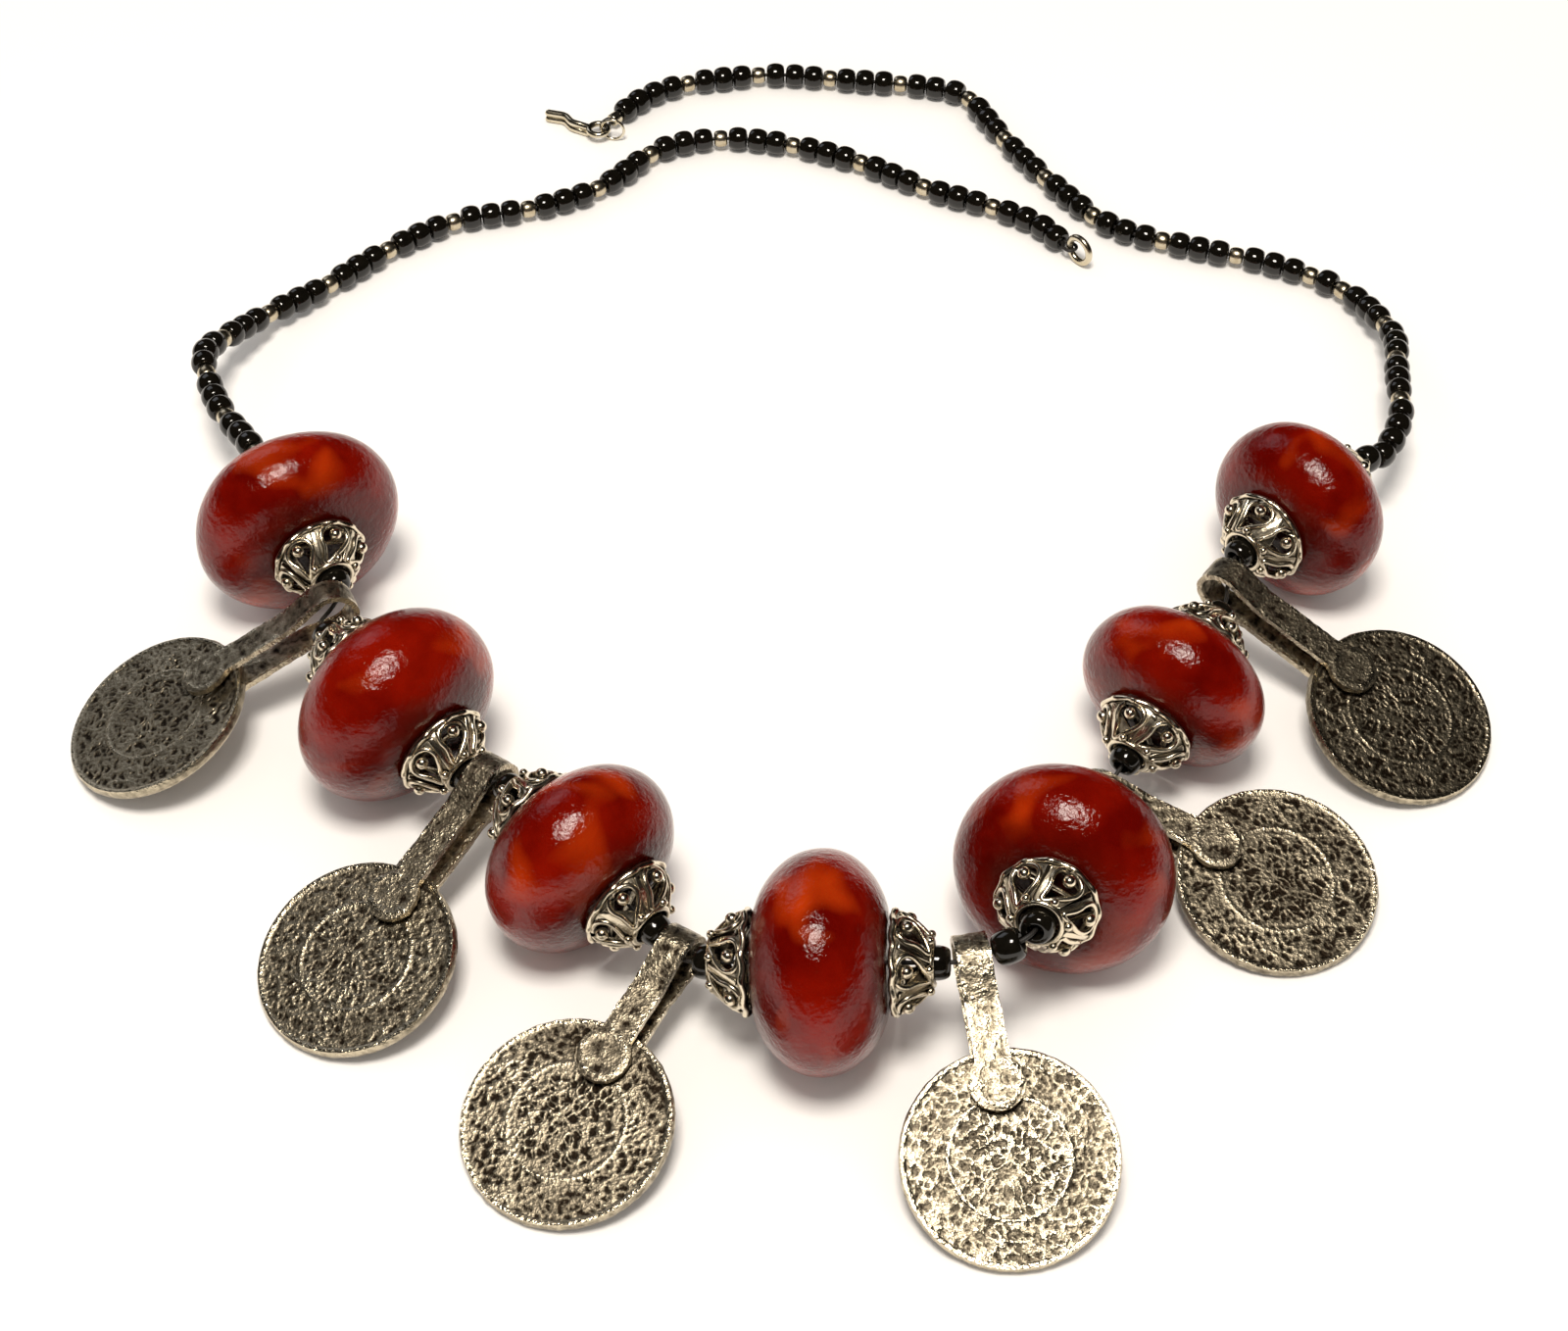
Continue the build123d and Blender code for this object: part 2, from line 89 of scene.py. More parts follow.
def add_node(tree, kind, sockets=None, **settings):
    """Add a node, set its properties, and give each socket a value or a link."""
    node = tree.nodes.new(kind)
    for name, value in settings.items():
        setattr(node, name, value)
    for socket, value in (sockets or {}).items():
        if isinstance(value, bpy.types.NodeSocket):
            tree.links.new(value, node.inputs[socket])
        else:
            node.inputs[socket].default_value = value
    return node


def new_material(name):
    """A material with only a Principled surface, and its node tree."""
    material = bpy.data.materials.new(name)
    material.use_nodes = True
    return material, material.node_tree, material.node_tree.nodes["Principled BSDF"]


def add_bump(tree, surface, height, strength, distance_mm):
    """Let a height in the finish tilt the surface's normals."""
    depth = {"Height": height, "Strength": strength, "Distance": distance_mm * MM}
    bump = add_node(tree, "ShaderNodeBump", depth)
    tree.links.new(bump.outputs["Normal"], surface.inputs["Normal"])


def add_mix(tree, share, low, high):
    """A colour between two sRGB hex values or sockets, by a share."""
    ends = [linear(end) if isinstance(end, str) else end for end in (low, high)]
    mix = add_node(tree, "ShaderNodeMix", {0: share, 6: ends[0], 7: ends[1]}, data_type="RGBA")
    return mix.outputs[2]


print("white is", linear("FFFFFF"), "and middle grey is", [round(c, 3) for c in linear("808080")])

# %% [markdown]
# ## The surface and the light
# Polished metal and glass show whatever is round them more than their own colour. Here that is a
# white table below and one soft lamp almost overhead, with a weak window far behind. The room fills
# the shadows, but nothing mirrors it: a bright room in every reflection would wash the dark hollows
# out of the silver and the coins.

# %% Floor, lamp and room
table_half_m, paper_colour, paper_roughness, paper_specular = 3, "F4F4F4", 0.9, 0.1
floor_bm = bmesh.new()
bmesh.ops.create_grid(floor_bm, x_segments=1, y_segments=1, size=table_half_m)
floor_mesh = bpy.data.meshes.new("table_top")
floor_bm.to_mesh(floor_mesh)
floor = bpy.data.objects.new("table_top", floor_mesh)
bpy.context.collection.objects.link(floor)
floor_material, _, floor_surface = new_material("white_paper")
floor_surface.inputs["Base Color"].default_value = linear(paper_colour)
floor_surface.inputs["Roughness"].default_value = paper_roughness
floor_surface.inputs["Specular IOR Level"].default_value = paper_specular
floor_mesh.materials.append(floor_material)

# Columns: name, place and size in millimetres, watts, colour
lamps = [
    ("ceiling_lamp", (-40, -240, 850), 240, 6.9, "FFF6EA"),
    ("window_behind", (-700, 900, 700), 600, 1.2, "F4F7FF"),
]
for name, place, size, watts, colour in lamps:
    lamp = bpy.data.objects.new(name, bpy.data.lights.new(name, "AREA"))
    bpy.context.collection.objects.link(lamp)
    lamp.data.size = size * MM
    lamp.data.energy = watts
    lamp.data.color = linear(colour)[:3]
    lamp.matrix_world = aimed(Vector(place) * MM)

room_colour, room_strength = "B9B4AE", 1.15
world = bpy.data.worlds.new("room")
bpy.context.scene.world = world
world.use_nodes = True
world.node_tree.nodes["Background"].inputs["Color"].default_value = linear(room_colour)
world.node_tree.nodes["Background"].inputs["Strength"].default_value = room_strength
world.cycles_visibility.glossy = False
bpy.context.scene.view_settings.view_transform = "Standard"
print(len(lamps), "lamps and a room that fills the shadows")

# %% [markdown]
# ## Where each solid is
# A CAD node's object sits at the origin and its place is in its vertices, so a bead's centre and the
# line of its hole have to be read from the mesh. Each loose solid is gathered from a merged copy,
# and the way its faces spread gives its axes: a squat bead is shortest along its hole.


# %% Read seats from the CAD
weld = 0.0001 * MM


def merged_copy(node_name):
    """A bmesh of a CAD node whose loose triangles are joined up again."""
    bm = bmesh.new()
    bm.from_mesh(nodes[node_name].data)
    bmesh.ops.remove_doubles(bm, verts=bm.verts, dist=weld)
    return bm


def loose_solids(node_name):
    """For each loose solid of a node: its points, its centre and its axes from short to long."""
    bm = merged_copy(node_name)
    waiting, solids = set(bm.verts), []
    while waiting:
        edge = [waiting.pop()]
        island = set(edge)
        while edge:
            around = {e.other_vert(v) for v in edge for e in v.link_edges} - island
            island |= around
            edge = list(around)
        waiting -= island
        faces = {f for v in island for f in v.link_faces}
        middles = np.array([f.calc_center_median() for f in faces])
        areas = np.array([f.calc_area() for f in faces])[:, None]
        centre = (middles * areas).sum(0) / areas.sum()
        spread = ((middles - centre) * areas).T @ (middles - centre)
        axes = np.linalg.eigh(spread)[1].T
        solids.append((np.array([v.co for v in island]), Vector(centre), [Vector(a) for a in axes]))
    bm.free()
    return solids


def seat_matrix(origin, z_axis, x_axis):
    """The matrix that puts a piece made about the origin on its seat."""
    z = z_axis.normalized()
    x = (x_axis - z * x_axis.dot(z)).normalized()
    y = z.cross(x)
    return Matrix.Translation(origin) @ Matrix((x, y, z)).transposed().to_4x4()


amber_count = 7
amber_seats = []
for number in range(1, amber_count + 1):
    points, centre, axes = loose_solids(f"amber_bead_{number}")[0]
    offsets = points - np.array(centre)
    along = offsets @ np.array(axes[0])
    radius = np.linalg.norm(offsets - np.outer(along, axes[0]), axis=1).max()
    amber_seats.append((centre, axes[0], radius, along.max()))
    print("amber bead", number, "radius", round(radius / MM, 2), "half thickness", round(along.max() / MM, 2))

# %% [markdown]
# ## Finishing a piece
# Every new piece ends the same way: its bmesh becomes a mesh, its faces are shaded smooth apart from
# real corners, it gets its material, the frame is told which body it rides on, and the CAD nodes it
# stands for are hidden.


# %% Helpers for pieces
def finish_piece(bm, name, material, slot, *stands_for, corner=40):
    """Turn a bmesh in the necklace's own frame into a shown piece."""
    mesh = bpy.data.meshes.new(name)
    bm.to_mesh(mesh)
    bm.free()
    mesh.materials.append(material)
    mesh.shade_smooth()
    mesh.set_sharp_from_angle(angle=math.radians(corner))
    piece = bpy.data.objects.new(name, mesh)
    bpy.context.collection.objects.link(piece)
    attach(piece, "root")
    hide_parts(*stands_for)
    return piece


def add_copy(bm, template, matrix):
    """Add a copy of a template mesh to a bmesh on a seat, and return the copy's vertices."""
    before = len(bm.verts)
    bm.from_mesh(template)
    bm.verts.ensure_lookup_table()
    added = bm.verts[before:]
    bmesh.ops.transform(bm, matrix=matrix, verts=added)
    return added


def keep_template(bm, name):
    """A mesh that only serves to be copied."""
    mesh = bpy.data.meshes.new(name)
    bm.to_mesh(mesh)
    bm.free()
    return mesh


def spun(profile, steps):
    """A bmesh that turns a profile of (radius, height) in millimetres once round Z."""
    bm = bmesh.new()
    verts = [bm.verts.new((r * MM, 0, z * MM)) for r, z in profile]
    edges = [bm.edges.new(pair) for pair in zip(verts, verts[1:])]
    whole_turn = {"cent": (0, 0, 0), "axis": (0, 0, 1), "angle": math.tau, "use_merge": True}
    bmesh.ops.spin(bm, geom=verts + edges, steps=steps, **whole_turn)
    bmesh.ops.remove_doubles(bm, verts=bm.verts, dist=10 * weld)
    bmesh.ops.recalc_face_normals(bm, faces=bm.faces)
    return bm


def arc(centre_r, centre_z, radius, start, stop, steps):
    """Points of a profile round a centre, from one angle to another in degrees."""
    angles = [math.radians(start + (stop - start) * i / steps) for i in range(steps + 1)]
    return [(centre_r + radius * math.cos(a), centre_z + radius * math.sin(a)) for a in angles]


def rough(point, size, seed=0):
    """Smooth noise from -1 to 1 whose lumps are about size millimetres wide."""
    return noise.noise(Vector(point) / (size * MM) + Vector((seed * 7.3, seed * 3.1, seed * 5.7)))


# %% [markdown]
# ## Amber resin
# The beads are amber resin, cast and tumbled: deep red, glossy, and clouded inside. Real depth could
# come from a glass shader, but the clouds stop light within a few millimetres, so a skin of scattered
# red light under a clear gloss gives the same glow and renders cleanly.

# %% Amber material
amber_material, tree, surface = new_material("amber_resin")
place = add_node(tree, "ShaderNodeTexCoord").outputs["Object"]
# Clouds about 11 mm across, and paler patches about 9 mm across
clouds = add_node(tree, "ShaderNodeTexNoise", {"Vector": place, "Scale": 90, "Detail": 3, "Roughness": 0.55})
streak_noise = {"Vector": place, "Scale": 110, "Detail": 1, "Distortion": 0.4}
streaks = add_node(tree, "ShaderNodeTexNoise", streak_noise)
cloud_share = add_node(
    tree, "ShaderNodeMapRange", {"Value": clouds.outputs["Fac"], "From Min": 0.38, "From Max": 0.66}
)
streak_share = add_node(
    tree, "ShaderNodeMapRange", {"Value": streaks.outputs["Fac"], "From Min": 0.54, "From Max": 0.85}
)
body = add_mix(tree, cloud_share.outputs["Result"], "540401", "780E02")
glowing = add_mix(tree, streak_share.outputs["Result"], body, "B03608")
# Painted shade: the resin is darkened near the hole, under the caps
girth = add_node(tree, "ShaderNodeAttribute", attribute_name="girth")
cap_shade_share = add_node(
    tree, "ShaderNodeMapRange", {"Value": girth.outputs["Fac"], "From Min": 0.35, "From Max": 0.8}
)
base = add_mix(tree, cap_shade_share.outputs["Result"], "2A0502", glowing)
tree.links.new(base, surface.inputs["Base Color"])
# Tumbling leaves soft dents about 1.1 mm across, with finer ones within them
dents = add_node(tree, "ShaderNodeTexNoise", {"Vector": place, "Scale": 900, "Detail": 5, "Roughness": 0.55})
add_bump(tree, surface, dents.outputs["Fac"], 0.6, 0.3)
surface.inputs["Roughness"].default_value = 0.06
surface.inputs["IOR"].default_value = 1.54
# A worn skin mirrors less than polished resin does, so the white table doesn't pale its lower flank
surface.inputs["Specular IOR Level"].default_value = 0.32
surface.inputs["Subsurface Weight"].default_value = 0.25
surface.inputs["Subsurface Radius"].default_value = (1.0, 0.25, 0.08)
surface.inputs["Subsurface Scale"].default_value = 3 * MM
print("amber nodes", len(tree.nodes))

# %% [markdown]
# ## Amber beads
# An oblate bead is a turned shape, so its profile is drawn once and spun. The rim and the shoulder
# are two arcs that meet smoothly, as a tumbled bead wears. Then slow noise pushes the skin in and
# out by a third of a millimetre, because no two of these beads are truly round.

# %% Amber bead pieces
amber_bore, amber_flat, amber_rim_share, hole_edge = 1.3, 5.0, 0.9, 0.3
slow_swell, quick_swell = (14, 0.35), (5, 0.06)
for number, (centre, axis, radius, half) in enumerate(amber_seats, 1):
    wide, high = radius / MM, half / MM
    amber_rim = amber_rim_share * high
    rim_centre = wide - amber_rim
    across = rim_centre - amber_flat
    shoulder = (across**2 + high**2 - amber_rim**2) / (2 * (high - amber_rim))
    meet = math.degrees(math.atan2(shoulder - high, across))
    top = arc(amber_flat, high - shoulder, shoulder, 90, meet, 14)
    rim = arc(rim_centre, 0, amber_rim, meet, -meet, 30)[1:-1]
    hole = [(amber_bore, high - hole_edge), (amber_bore + hole_edge, high)]
    profile = hole + top + rim + [(r, -z) for r, z in reversed(hole + top)]
    bead = spun(profile + profile[:1], 96)
    girth_layer = bead.verts.layers.float.new("girth")
    for vert in bead.verts:
        out = math.hypot(vert.co.x, vert.co.y) / radius
        vert[girth_layer] = out
        swell = sum(rough(vert.co, size, number) * depth for size, depth in (slow_swell, quick_swell))
        # The swelling fades out towards the hole, where the caps sit
        fade = min(1, max(0, out - 0.35) * 2.5)
        vert.co += vert.co.normalized() * swell * MM * fade
    bmesh.ops.transform(bead, matrix=seat_matrix(centre, axis, Vector((0, 0, 1))), verts=bead.verts)
    bmesh.ops.recalc_face_normals(bead, faces=bead.faces)
    finish_piece(bead, f"amber_{number}", amber_material, "amber_resin", f"amber_bead_{number}")
print("seven amber beads")

# %% [markdown]
# ## Cast silver
# The caps are cast silver, pale where fingers have rubbed them. Their hollows get painted shade: an
# ambient occlusion lookup of about a millimetre finds what lies deep, which is painted brown-black as
# shade and roughened as tarnish is.

# %% Silver material
cap_material, tree, surface = new_material("cast_silver")
place = add_node(tree, "ShaderNodeTexCoord").outputs["Object"]
hollow = add_node(tree, "ShaderNodeAmbientOcclusion", {"Distance": 1.4 * MM}, samples=8)
open_share = add_node(
    tree, "ShaderNodeMapRange", {"Value": hollow.outputs["AO"], "From Min": 0.35, "From Max": 0.8}
)
# Casting grain about 0.5 mm wide
grain = add_node(tree, "ShaderNodeTexNoise", {"Vector": place, "Scale": 2000, "Detail": 2})
# Painted shade: brown-black where the lookup finds a hollow, the pale silver where it is open
tone = add_mix(tree, open_share.outputs["Result"], "1A110B", "E8DCC4")
tree.links.new(tone, surface.inputs["Base Color"])
shine = add_node(
    tree, "ShaderNodeMapRange", {"Value": open_share.outputs["Result"], "To Min": 0.6, "To Max": 0.22}
)
tree.links.new(shine.outputs["Result"], surface.inputs["Roughness"])
add_bump(tree, surface, grain.outputs["Fac"], 0.35, 0.1)
surface.inputs["Metallic"].default_value = 1.0
print("silver nodes", len(tree.nodes))

# %% [markdown]
# ## Pierced caps
# Each cap is a little dome of comma-shaped windows framed in wire, with a ball in the head of each
# window, flat bars between them, a wavy foot and a ring at the mouth. A boolean could cut the
# windows, but it leaves ragged meshes. Here a spun dome simply loses the faces inside each outline,
# and the wire frames, swept along the same outlines, cover the cut edges.

# %% Cap sizes and outlines
cap_foot, cap_lip, cap_low, cap_high = 6.45, 3.0, 0.6, 5.4
dome_inward, dome_upward = 1.35, 0.85
window_count = 6
# A window's outline: turn in degrees and share of the way from foot to mouth
window = [(0, 0.03), (17, 0.1), (23, 0.33), (21, 0.55), (26, 0.76), (33, 0.93)]
window += [(19, 0.93), (3, 0.8), (-12, 0.65), (-22, 0.41), (-18, 0.14)]


def dome(turn, share, lift=0.0):
    """Point on the cap's outer face at a turn in degrees and a share of the way from foot to mouth."""
    angle = math.radians(turn)
    radius = cap_foot - (cap_foot - cap_lip) * share**dome_inward + lift * 0.75
    height = cap_low + (cap_high - cap_low) * share**dome_upward + lift * 0.65
    return Vector((radius * math.cos(angle), radius * math.sin(angle), height)) * MM


def inside(turn, share):
    """Whether a point of the dome lies inside the window outline, by counting crossings."""
    crossings = 0
    for (t1, s1), (t2, s2) in zip(window, window[1:] + window[:1]):
        if (s1 > share) != (s2 > share) and turn < t1 + (share - s1) / (s2 - s1) * (t2 - t1):
            crossings += 1
    return crossings % 2 == 1


def wire_mesh(points, radius):
    """A closed loop of round wire along a smooth line near these points, as a mesh."""
    curve = bpy.data.curves.new("wire", "CURVE")
    curve.dimensions = "3D"
    curve.bevel_depth = radius * MM
    curve.bevel_resolution = 2
    spline = curve.splines.new("NURBS")
    spline.points.add(len(points) - 1)
    for knot, point in zip(spline.points, points):
        knot.co = (*point, 1)
    spline.use_cyclic_u = True
    spline.order_u = 3
    spline.resolution_u = 4
    holder = bpy.data.objects.new("wire", curve)
    mesh = bpy.data.meshes.new_from_object(holder)
    bpy.data.objects.remove(holder)
    return mesh


print("cap from", dome(0, 0) / MM, "to", dome(0, 1) / MM)

# %% [markdown]
# The dome is spun from ten points of its slope. A face goes when its middle lies inside a window,
# and what is left is given its thickness.

# %% The dome and its windows
levels = [dome(0, i / 9) / MM for i in range(10)]
cap = spun([(point.x, point.z) for point in levels], 90)
cap_sheet = 0.5 * MM
pitch = 360 / window_count
cut = []
for face in cap.faces:
    middle = face.calc_center_median()
    turn = math.degrees(math.atan2(middle.y, middle.x)) % pitch
    share = ((middle.z / MM - cap_low) / (cap_high - cap_low)) ** (1 / dome_upward)
    if any(inside(turn - shift, share) for shift in (0, pitch)):
        cut.append(face)
bmesh.ops.delete(cap, geom=cut, context="FACES")
bmesh.ops.recalc_face_normals(cap, faces=cap.faces)
bmesh.ops.solidify(cap, geom=cap.faces[:], thickness=cap_sheet)
print(len(cut), "faces cut out for", window_count, "windows")

# %% [markdown]
# The wires, balls and bars are what a caster would build up in wax before casting. Those of one
# window are made once, and turned copies make up the ring. Every third point of the foot's wire is
# lifted, which gives it its waves.

# %% Wires, balls and bars of a cap
frame_wire = wire_mesh([dome(turn, share, 0.14) for turn, share in window], 0.38)
foot_line = [dome(a * 10, 0.0, 0.1 + 0.5 * (a % 3 == 0)) for a in range(36)]
foot_wire = wire_mesh([p + Vector((0, 0, -0.1 * MM)) for p in foot_line], 0.46)
lip_wire = wire_mesh([dome(a * 15, 1.0, 0.0) for a in range(24)], 0.42)
# Radius of a ball, and the place of its middle on the dome
cap_balls = [(0.88, (0, 0.3, 0.25)), (0.6, (2, 0.9, 0.45))]
bar_low, bar_high = (29, 0.1, 0.15), (44, 0.96, 0.15)
bar_width, bar_depth, bar_round = 0.9 * MM, 0.6 * MM, 0.14 * MM
add_copy(cap, foot_wire, Matrix())
add_copy(cap, lip_wire, Matrix())
for step in range(window_count):
    turned = Matrix.Rotation(math.radians(step * pitch), 4, "Z")
    add_copy(cap, frame_wire, turned)
    for ball_radius, ball_place in cap_balls:
        ball = bmesh.ops.create_icosphere(cap, subdivisions=3, radius=ball_radius * MM)["verts"]
        bmesh.ops.transform(cap, matrix=turned @ Matrix.Translation(dome(*ball_place)), verts=ball)
    low, high = dome(*bar_low), dome(*bar_high)
    bar = bmesh.ops.create_cube(cap, size=1)["verts"]
    scale = Matrix.Diagonal((bar_width, bar_depth, (high - low).length, 1))
    lean = seat_matrix((low + high) / 2, high - low, low.cross(high))
    bmesh.ops.transform(cap, matrix=turned @ lean @ scale, verts=bar)
    bar_edges = list({e for v in bar for e in v.link_edges})
    bmesh.ops.bevel(cap, geom=bar_edges, offset=bar_round, segments=2, affect="EDGES", profile=0.5)
cap_template = keep_template(cap, "cap_template")
print("cap triangles", sum(len(p.vertices) - 2 for p in cap_template.polygons))

# %% [markdown]
# A cap sits on each end of a bead with its foot against the resin. Each is turned by chance about
# the thread, as loose caps are.

# %% Fourteen caps on their beads
cap_gap = 0.1 * MM
chance = random.Random(4)
for number, (centre, axis, radius, half) in enumerate(amber_seats, 1):
    for end_name in ("left", "right"):
        node_name = f"bead_cap_{number}_{end_name}"
        cap_centre = loose_solids(node_name)[0][1]
        outward = axis if (cap_centre - centre).dot(axis) > 0 else -axis
        seat = seat_matrix(centre + outward * (half + cap_gap), outward, Vector((0, 0, 1)))
        bm = bmesh.new()
        add_copy(bm, cap_template, seat @ Matrix.Rotation(chance.uniform(0, math.tau), 4, "Z"))
        finish_piece(bm, f"cap_{number}_{end_name}", cap_material, "cast_silver", node_name, corner=55)
print("fourteen caps")

# %% [markdown]
# ## Black glass and small metal beads
# Seed beads are cut from drawn glass tube and tumbled hot until their ends round over. One bead is
# spun from a profile with its hole, and copied to every seat with a small change of size, because
# a real strand is never perfectly even.

# %% Bead materials
glass_material, tree, surface = new_material("black_glass")
place = add_node(tree, "ShaderNodeTexCoord").outputs["Object"]
# Flow lines about 1.2 mm wide in the glass, from black to the brown of bottle glass
flow = add_node(tree, "ShaderNodeTexNoise", {"Vector": place, "Scale": 800, "Detail": 2})
tint = add_mix(tree, flow.outputs["Fac"], "050504", "16130E")
tree.links.new(tint, surface.inputs["Base Color"])
add_bump(tree, surface, flow.outputs["Fac"], 0.15, 0.15)
surface.inputs["Roughness"].default_value = 0.09
surface.inputs["IOR"].default_value = 1.52

bead_metal, tree, surface = new_material("nickel_silver_beads")
place = add_node(tree, "ShaderNodeTexCoord").outputs["Object"]
wear = add_node(tree, "ShaderNodeTexNoise", {"Vector": place, "Scale": 900, "Detail": 3})
tone = add_mix(tree, wear.outputs["Fac"], "A2906C", "E6DDC8")
tree.links.new(tone, surface.inputs["Base Color"])
add_bump(tree, surface, wear.outputs["Fac"], 0.3, 0.15)
surface.inputs["Metallic"].default_value = 1.0
surface.inputs["Roughness"].default_value = 0.28
print("glass and metal bead finishes")


# %% [markdown]
# The profile runs up the hole and back down a rounded side. Its sizes are those of the solids. Each
# copy's width varies by a few hundredths and its length doesn't, so none can reach its neighbour.


# %% Bead pieces
def bead_template(name, diameter, length, hole):
    """A squat drilled bead about the origin, its hole along Z."""
    half, inner, wall = length / 2, hole / 2, (diameter - hole) / 2
    angles = [math.radians(a) for a in range(-84, 85, 14)]
    side = [(inner + wall * (0.28 + 0.72 * math.cos(a) ** 0.8), half * math.sin(a)) for a in angles]
    profile = [(inner, 0.9 * half), (inner, -0.9 * half), (inner + 0.12 * wall, -half)]
    profile += side + [(inner + 0.12 * wall, half), (inner, 0.9 * half)]
    return keep_template(spun(profile, 22), name)


black_bead = bead_template("black_bead", 4.3, 3.25, 1.5)
metal_bead = bead_template("metal_bead", 3.1, 2.4, 1.3)
spacer_bead = bead_template("spacer_bead", 4.8, 3.8, 2.1)
rows = [
    ("black_beads_left", black_bead, glass_material, "black_glass"),
    ("black_beads_right", black_bead, glass_material, "black_glass"),
    ("metal_beads_left", metal_bead, bead_metal, "bead_metal"),
    ("metal_beads_right", metal_bead, bead_metal, "bead_metal"),
    ("spacer_beads", spacer_bead, glass_material, "black_glass"),
]
for node_name, template, material, slot in rows:
    bm = bmesh.new()
    solids = loose_solids(node_name)
    for _, centre, axes in sorted(solids, key=lambda s: tuple(s[1])):
        size = 1 - chance.uniform(0, 0.05)
        scale = Matrix.Diagonal((size, size * chance.uniform(0.97, 1.03), 1, 1))
        seat = seat_matrix(centre, axes[0], Vector((0.3, 0.2, 1)))
        add_copy(bm, template, seat @ Matrix.Rotation(chance.uniform(0, math.tau), 4, "Z") @ scale)
    finish_piece(bm, f"string_{node_name}", material, slot, node_name)
    print(node_name, len(solids))

# %% [markdown]
# ## Old coins
# The coins are struck silver alloy, worn and blackened. What stands up is rubbed bright and smooth, and
# what lies low stays dark and rough. The finish reads a height that each mesh keeps as an attribute,
# together with painted light that brightens or darkens a whole coin and its strap, and adds a fine grit.

# %% Coin and strap finishes
coin_material, tree, surface = new_material("struck_silver_alloy")
place = add_node(tree, "ShaderNodeTexCoord").outputs["Object"]
relief = add_node(tree, "ShaderNodeAttribute", attribute_name="relief").outputs["Fac"]
# Grit about 0.45 mm wide, a little coarser than the real corrosion so that it shows
grit = add_node(tree, "ShaderNodeTexNoise", {"Vector": place, "Scale": 2200, "Detail": 2, "Roughness": 0.6})
standing = {0: grit.outputs["Fac"], 1: 0.6, 2: relief}
high = add_node(tree, "ShaderNodeMath", standing, operation="MULTIPLY_ADD")
polish_and_painted_light = add_node(
    tree, "ShaderNodeMapRange", {"Value": high.outputs[0], "From Min": 0.3, "From Max": 1.15}
)
tone = add_mix(tree, polish_and_painted_light.outputs["Result"], "2A221A", "CDC1A8")
tree.links.new(tone, surface.inputs["Base Color"])
shine = add_node(
    tree, "ShaderNodeMapRange", {"Value": polish_and_painted_light.outputs["Result"], "To Min": 0.55, "To Max": 0.22}
)
tree.links.new(shine.outputs["Result"], surface.inputs["Roughness"])
add_bump(tree, surface, grit.outputs["Fac"], 1.0, 0.16)
surface.inputs["Metallic"].default_value = 1.0

# The straps have the same finish under a name of their own
strap_material = coin_material.copy()
strap_material.name = "hammered_white_metal"
print("coin and strap finishes")

# %% [markdown]
# The relief itself is real geometry. Its height at a place is the highest of a rim, an inner ring,
# a star on three of the coins, and short worn strokes. The strokes follow the lines where a smooth
# noise crosses zero, so they wander like worn lettering and spell nothing.

# %% Relief of a coin
coin_radius, coin_half, coin_rim, coin_depth = 14.0, 0.85, 1.1, 0.26
star_reach, ring_radius, line_half = 13.4, 7.8, 0.4
ring_height, star_height, rim_height, stroke_height = 0.75, 0.65 * 0.75, 0.85, 0.75
# Columns: how far apart the strokes are in millimetres, their breadth, their share of the height
stroke_kinds = [(1.4, 0.2, 1.0), (1.0, 0.18, 0.8)]
corners = [Vector((math.cos(i * math.pi / 3), math.sin(i * math.pi / 3))) * star_reach for i in range(6)]
star_sides = [(corners[i], corners[(i + 2) % 6]) for i in range(6)]


def ridge(distance, half_width):
    """One on a line, falling smoothly to nothing at its edge."""
    return max(0.0, 1 - (distance / half_width) ** 2) ** 0.5


def off_line(point, start, stop):
    """How far a point is from a stretch of line."""
    run = stop - start
    share = min(1, max(0, (point - start).dot(run) / run.length_squared))
    return (point - start - run * share).length


def coin_height(x, y, starred, seed):
    """Height of a coin's face from 0 to about 1 at a place in millimetres."""
    point, out = Vector((x, y)), math.hypot(x, y)
    spot = Vector((x, y, 0)) * MM
    strokes = [
        share * ridge(rough(spot, spacing, seed + 2 + 2 * i), breadth)
        for i, (spacing, breadth, share) in enumerate(stroke_kinds)
    ]
    worn = 0.7 + 0.4 * rough(spot, 5, seed)
    lines = ring_height * ridge(out - ring_radius, line_half)
    if starred:
        sides = [ridge(off_line(point, *side), line_half) for side in star_sides]
        lines = max(lines, star_height * max(sides))
    rim = rim_height * min(1, max(0, (out - coin_radius + coin_rim) / 0.35))
    grain = 0.15 * rough(spot, 0.6, seed + 5)
    return max(stroke_height * max(strokes) * worn, lines, rim) + grain


print("star of", len(star_sides), "sides in a ring of radius", coin_radius - coin_rim)

# %% [markdown]
# A strap is one strip of sheet folded round the thread, with a round tongue on each side of the
# coin. Its outer face is drawn from the fold outwards: a bend, a slanting leg down to the neck, then
# a straight leg that ends in the tongue. A flat grid takes this shape and is then given the sheet's
# thickness.

# %% The shape of a folded strap
strap_metal, strap_bend, strap_inner, strap_neck = 0.85, 3.0, 0.95, 5.5
tongue, root_half = 3.7, 2.3
leg_top = strap_inner + strap_metal
# The angle at which the bend meets the slanting leg, and how long each of the two is
meet = math.atan2(leg_top, strap_neck) + math.acos(strap_bend / math.hypot(strap_neck, leg_top))
bend = strap_bend * (math.pi - meet)
slant = math.sqrt(strap_neck**2 + leg_top**2 - strap_bend**2)


def strap_half(x, length, half_width):
    """Half the strip's width at a distance from its loop."""
    return half_width + (root_half - half_width) * max(0, x) / length


